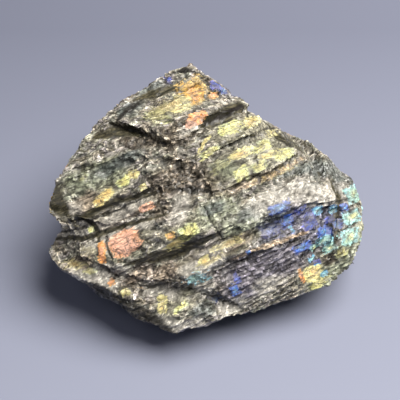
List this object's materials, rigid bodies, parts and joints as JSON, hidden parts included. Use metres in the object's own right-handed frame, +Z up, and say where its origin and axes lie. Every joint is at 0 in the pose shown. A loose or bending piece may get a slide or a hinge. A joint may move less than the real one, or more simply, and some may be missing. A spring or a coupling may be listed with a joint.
{
  "type": "rough labradorite chunk",
  "caption": "Palm-sized rough chunk of labradorite with a broad stepped broken face, ledges and shell-shaped scars, resting on a flat cleavage face.",
  "frame": {"origin": "on the plane of the flat face the stone rests on, under the middle of its bounding box", "axes": "+X along the stone's longest side, left to right as its broken face is seen; +Y away from the broken face, towards the back; +Z up, the stone's shortest side"},
  "size_m": [0.0928, 0.0836, 0.042],
  "materials": {
    "labradorite": "satin"
  },
  "bodies": {
    "root": {"labradorite_chunk": "labradorite"}
  },
  "joints": []
}
